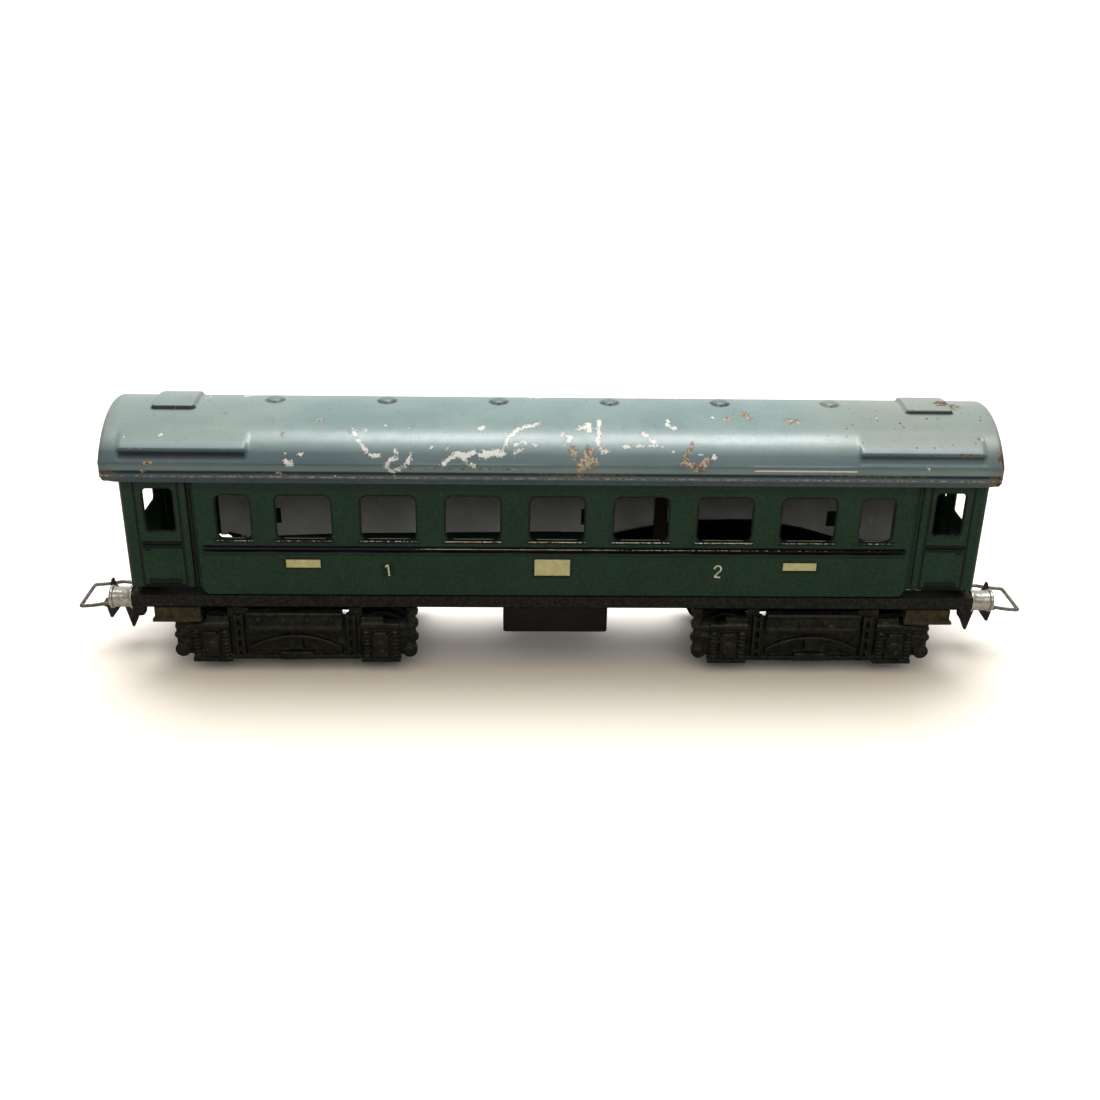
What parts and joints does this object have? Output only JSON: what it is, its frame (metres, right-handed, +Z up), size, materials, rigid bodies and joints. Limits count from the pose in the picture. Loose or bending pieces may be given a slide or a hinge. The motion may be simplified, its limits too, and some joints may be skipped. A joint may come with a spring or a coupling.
{
  "type": "model passenger coach",
  "caption": "Tin-plate model railway passenger coach with a barrel roof, swivelling bogies, rolling wheelsets, buffers and hook-and-bail couplings.",
  "frame": {"origin": "on the table under the middle of the coach, level with the lowest point of the wheel flanges", "axes": "+X along the coach, +Y across it towards its back side, +Z up"},
  "size_m": [0.192, 0.0294, 0.0531],
  "materials": {
    "roof_paint": "satin blue-grey lacquer on tin plate, chipped along the rim",
    "coach_green": "semi-gloss dark green lacquer, worn",
    "frame_paint": "satin black lacquer",
    "step_brown": "black lacquer worn brown",
    "bogie_casting": "matt black casting",
    "zinc": "dull bright zinc",
    "steel": "drawn steel wire",
    "dark_steel": "blackened steel strip",
    "wheel_black": "blackened wheel with a bright tread",
    "lining_grey": "matt grey",
    "fibre": "brown vulcanised fibre"
  },
  "bodies": {
    "coach": {"roof": "roof_paint", "underframe": "frame_paint", "equipment_box": "frame_paint", "lamp_bracket": "frame_paint", "fibre_strip": "fibre", "side_wall_front": "coach_green", "lining_front": "lining_grey", "side_wall_back": "coach_green", "lining_back": "lining_grey", "end_wall_left": "coach_green", "pivot_stud_left": "zinc", "buffer_front_left": "zinc", "door_step_front_left": "step_brown", "buffer_back_left": "zinc", "door_step_back_left": "step_brown", "end_wall_right": "coach_green", "pivot_stud_right": "zinc", "buffer_front_right": "zinc", "door_step_front_right": "step_brown", "buffer_back_right": "zinc", "door_step_back_right": "step_brown"},
    "bogie_left": {"bogie_frame_left": "bogie_casting", "coupling_rivet_left": "zinc"},
    "wheelset_left_outer": {"axle_left_outer": "steel", "wheel_front_left_outer": "wheel_black", "wheel_back_left_outer": "wheel_black"},
    "wheelset_left_inner": {"axle_left_inner": "steel", "wheel_front_left_inner": "wheel_black", "wheel_back_left_inner": "wheel_black"},
    "coupling_left": {"coupling_hook_left": "dark_steel"},
    "bail_left": {"coupling_bail_left": "steel"},
    "bogie_right": {"bogie_frame_right": "bogie_casting", "coupling_rivet_right": "zinc"},
    "wheelset_right_outer": {"axle_right_outer": "steel", "wheel_front_right_outer": "wheel_black", "wheel_back_right_outer": "wheel_black"},
    "wheelset_right_inner": {"axle_right_inner": "steel", "wheel_front_right_inner": "wheel_black", "wheel_back_right_inner": "wheel_black"},
    "coupling_right": {"coupling_hook_right": "dark_steel"},
    "bail_right": {"coupling_bail_right": "steel"}
  },
  "joints": [
    {"name": "bogie_swivel_left", "type": "hinge", "parent": "coach", "child": "bogie_left", "pos_m": [-0.0512, 0, 0.0162], "axis": [0, 0, 1], "range_deg": [-10, 10]},
    {"name": "wheel_roll_left_outer", "type": "hinge", "parent": "bogie_left", "child": "wheelset_left_outer", "pos_m": [-0.0678, 0, 0.0062], "axis": [0, 1, 0], "continuous": true},
    {"name": "wheel_roll_left_inner", "type": "hinge", "parent": "bogie_left", "child": "wheelset_left_inner", "pos_m": [-0.0346, 0, 0.0062], "axis": [0, 1, 0], "continuous": true},
    {"name": "coupling_swing_left", "type": "hinge", "parent": "bogie_left", "child": "coupling_left", "pos_m": [-0.0707, 0, 0.0085], "axis": [0, 0, 1], "range_deg": [-8, 8]},
    {"name": "bail_lift_left", "type": "hinge", "parent": "coupling_left", "child": "bail_left", "pos_m": [-0.0866, 0, 0.0104], "axis": [0, 1, 0], "range_deg": [0, 25]},
    {"name": "bogie_swivel_right", "type": "hinge", "parent": "coach", "child": "bogie_right", "pos_m": [0.0512, 0, 0.0162], "axis": [0, 0, 1], "range_deg": [-10, 10]},
    {"name": "wheel_roll_right_outer", "type": "hinge", "parent": "bogie_right", "child": "wheelset_right_outer", "pos_m": [0.0678, 0, 0.0062], "axis": [0, 1, 0], "continuous": true},
    {"name": "wheel_roll_right_inner", "type": "hinge", "parent": "bogie_right", "child": "wheelset_right_inner", "pos_m": [0.0346, 0, 0.0062], "axis": [0, 1, 0], "continuous": true},
    {"name": "coupling_swing_right", "type": "hinge", "parent": "bogie_right", "child": "coupling_right", "pos_m": [0.0707, 0, 0.0085], "axis": [0, 0, 1], "range_deg": [-8, 8]},
    {"name": "bail_lift_right", "type": "hinge", "parent": "coupling_right", "child": "bail_right", "pos_m": [0.0866, 0, 0.0104], "axis": [0, -1, 0], "range_deg": [0, 25]}
  ]
}
